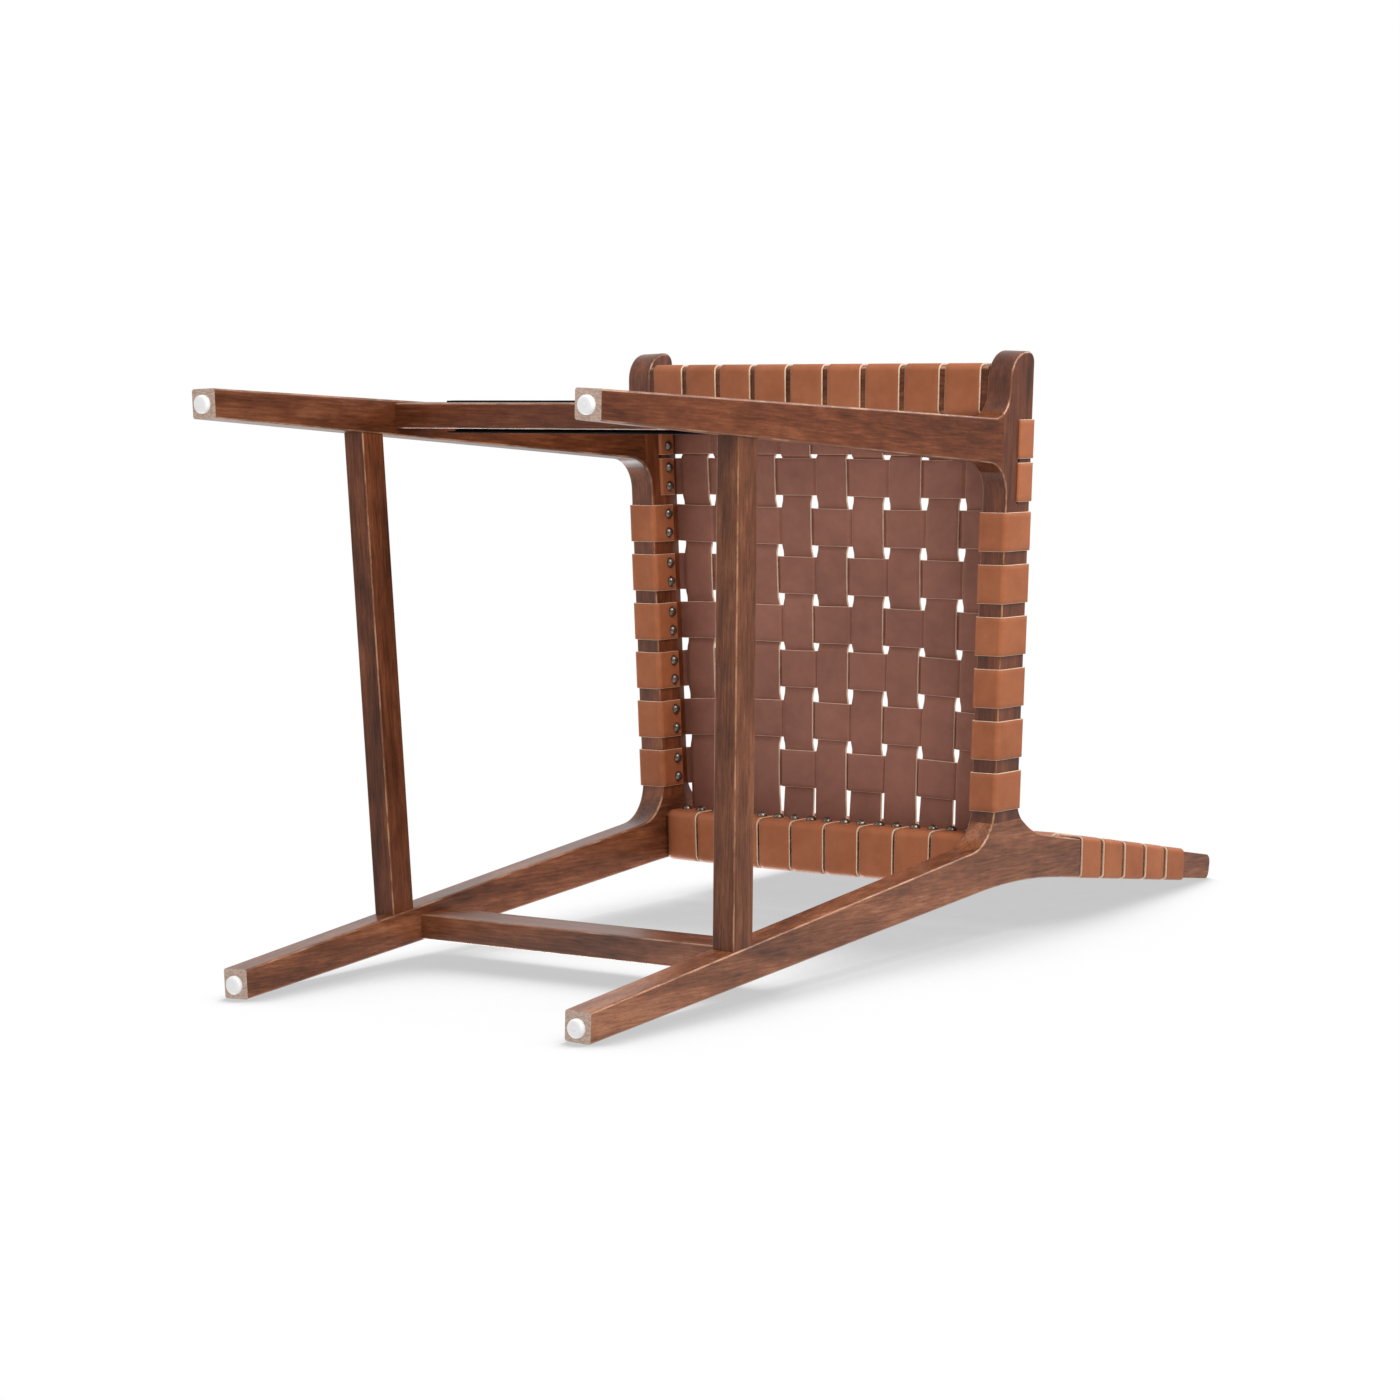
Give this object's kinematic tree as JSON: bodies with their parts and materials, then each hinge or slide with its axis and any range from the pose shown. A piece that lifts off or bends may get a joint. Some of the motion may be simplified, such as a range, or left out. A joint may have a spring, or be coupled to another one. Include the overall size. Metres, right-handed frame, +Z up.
{
  "type": "counter stool",
  "caption": "Counter-height stool with two shaped wooden side frames, box stretchers, a plated footrest, and a seat and backrest woven from flat leather straps.",
  "frame": {"origin": "on the floor plane under the glides, in the middle of the footprint's box", "axes": "+X towards the sitter's left, +Y from the front of the seat to the backrest, +Z up"},
  "size_m": [0.4688, 0.5776, 1.0948],
  "materials": {
    "stained_wood": "walnut stain, satin lacquer",
    "strap_leather": "smooth tan bridle leather with pale cut edges",
    "nail_steel": "antiqued dark steel, domed",
    "dowel_wood": "raw beech",
    "black_plate": "satin black",
    "screw_steel": "blackened steel",
    "glide_nylon": "white nylon"
  },
  "bodies": {
    "root": {"front_leg_left": "stained_wood", "front_leg_right": "stained_wood", "side_rail_left": "stained_wood", "side_rail_right": "stained_wood", "rear_leg_left": "stained_wood", "rear_leg_right": "stained_wood", "side_stretcher_left": "stained_wood", "side_stretcher_right": "stained_wood", "front_seat_rail": "stained_wood", "rear_seat_rail": "stained_wood", "lower_back_rail": "stained_wood", "top_back_rail": "stained_wood", "front_stretcher": "stained_wood", "rear_stretcher": "stained_wood", "seat_cross_strap_1": "strap_leather", "seat_cross_strap_2": "strap_leather", "seat_cross_strap_3": "strap_leather", "seat_cross_strap_4": "strap_leather", "seat_cross_strap_5": "strap_leather", "seat_cross_strap_6": "strap_leather", "seat_cross_strap_7": "strap_leather", "seat_cross_strap_8": "strap_leather", "seat_long_strap_1": "strap_leather", "seat_long_strap_2": "strap_leather", "seat_long_strap_3": "strap_leather", "seat_long_strap_4": "strap_leather", "seat_long_strap_5": "strap_leather", "seat_long_strap_6": "strap_leather", "seat_long_strap_7": "strap_leather", "seat_long_strap_8": "strap_leather", "seat_long_strap_9": "strap_leather", "back_cross_strap_1": "strap_leather", "back_cross_strap_2": "strap_leather", "back_cross_strap_3": "strap_leather", "back_cross_strap_4": "strap_leather", "back_cross_strap_5": "strap_leather", "back_long_strap_1": "strap_leather", "back_long_strap_2": "strap_leather", "back_long_strap_3": "strap_leather", "back_long_strap_4": "strap_leather", "back_long_strap_5": "strap_leather", "back_long_strap_6": "strap_leather", "back_long_strap_7": "strap_leather", "back_long_strap_8": "strap_leather", "back_long_strap_9": "strap_leather", "seat_cross_strap_nails": "nail_steel", "seat_long_strap_nails": "nail_steel", "back_cross_strap_nails": "nail_steel", "back_long_strap_nails": "nail_steel", "side_frame_dowels": "dowel_wood", "stretcher_dowels": "dowel_wood", "seat_rail_dowels": "dowel_wood", "back_rail_dowels": "dowel_wood", "footrest_plate": "black_plate", "plate_screws": "screw_steel", "foot_glides": "glide_nylon"}
  },
  "joints": []
}
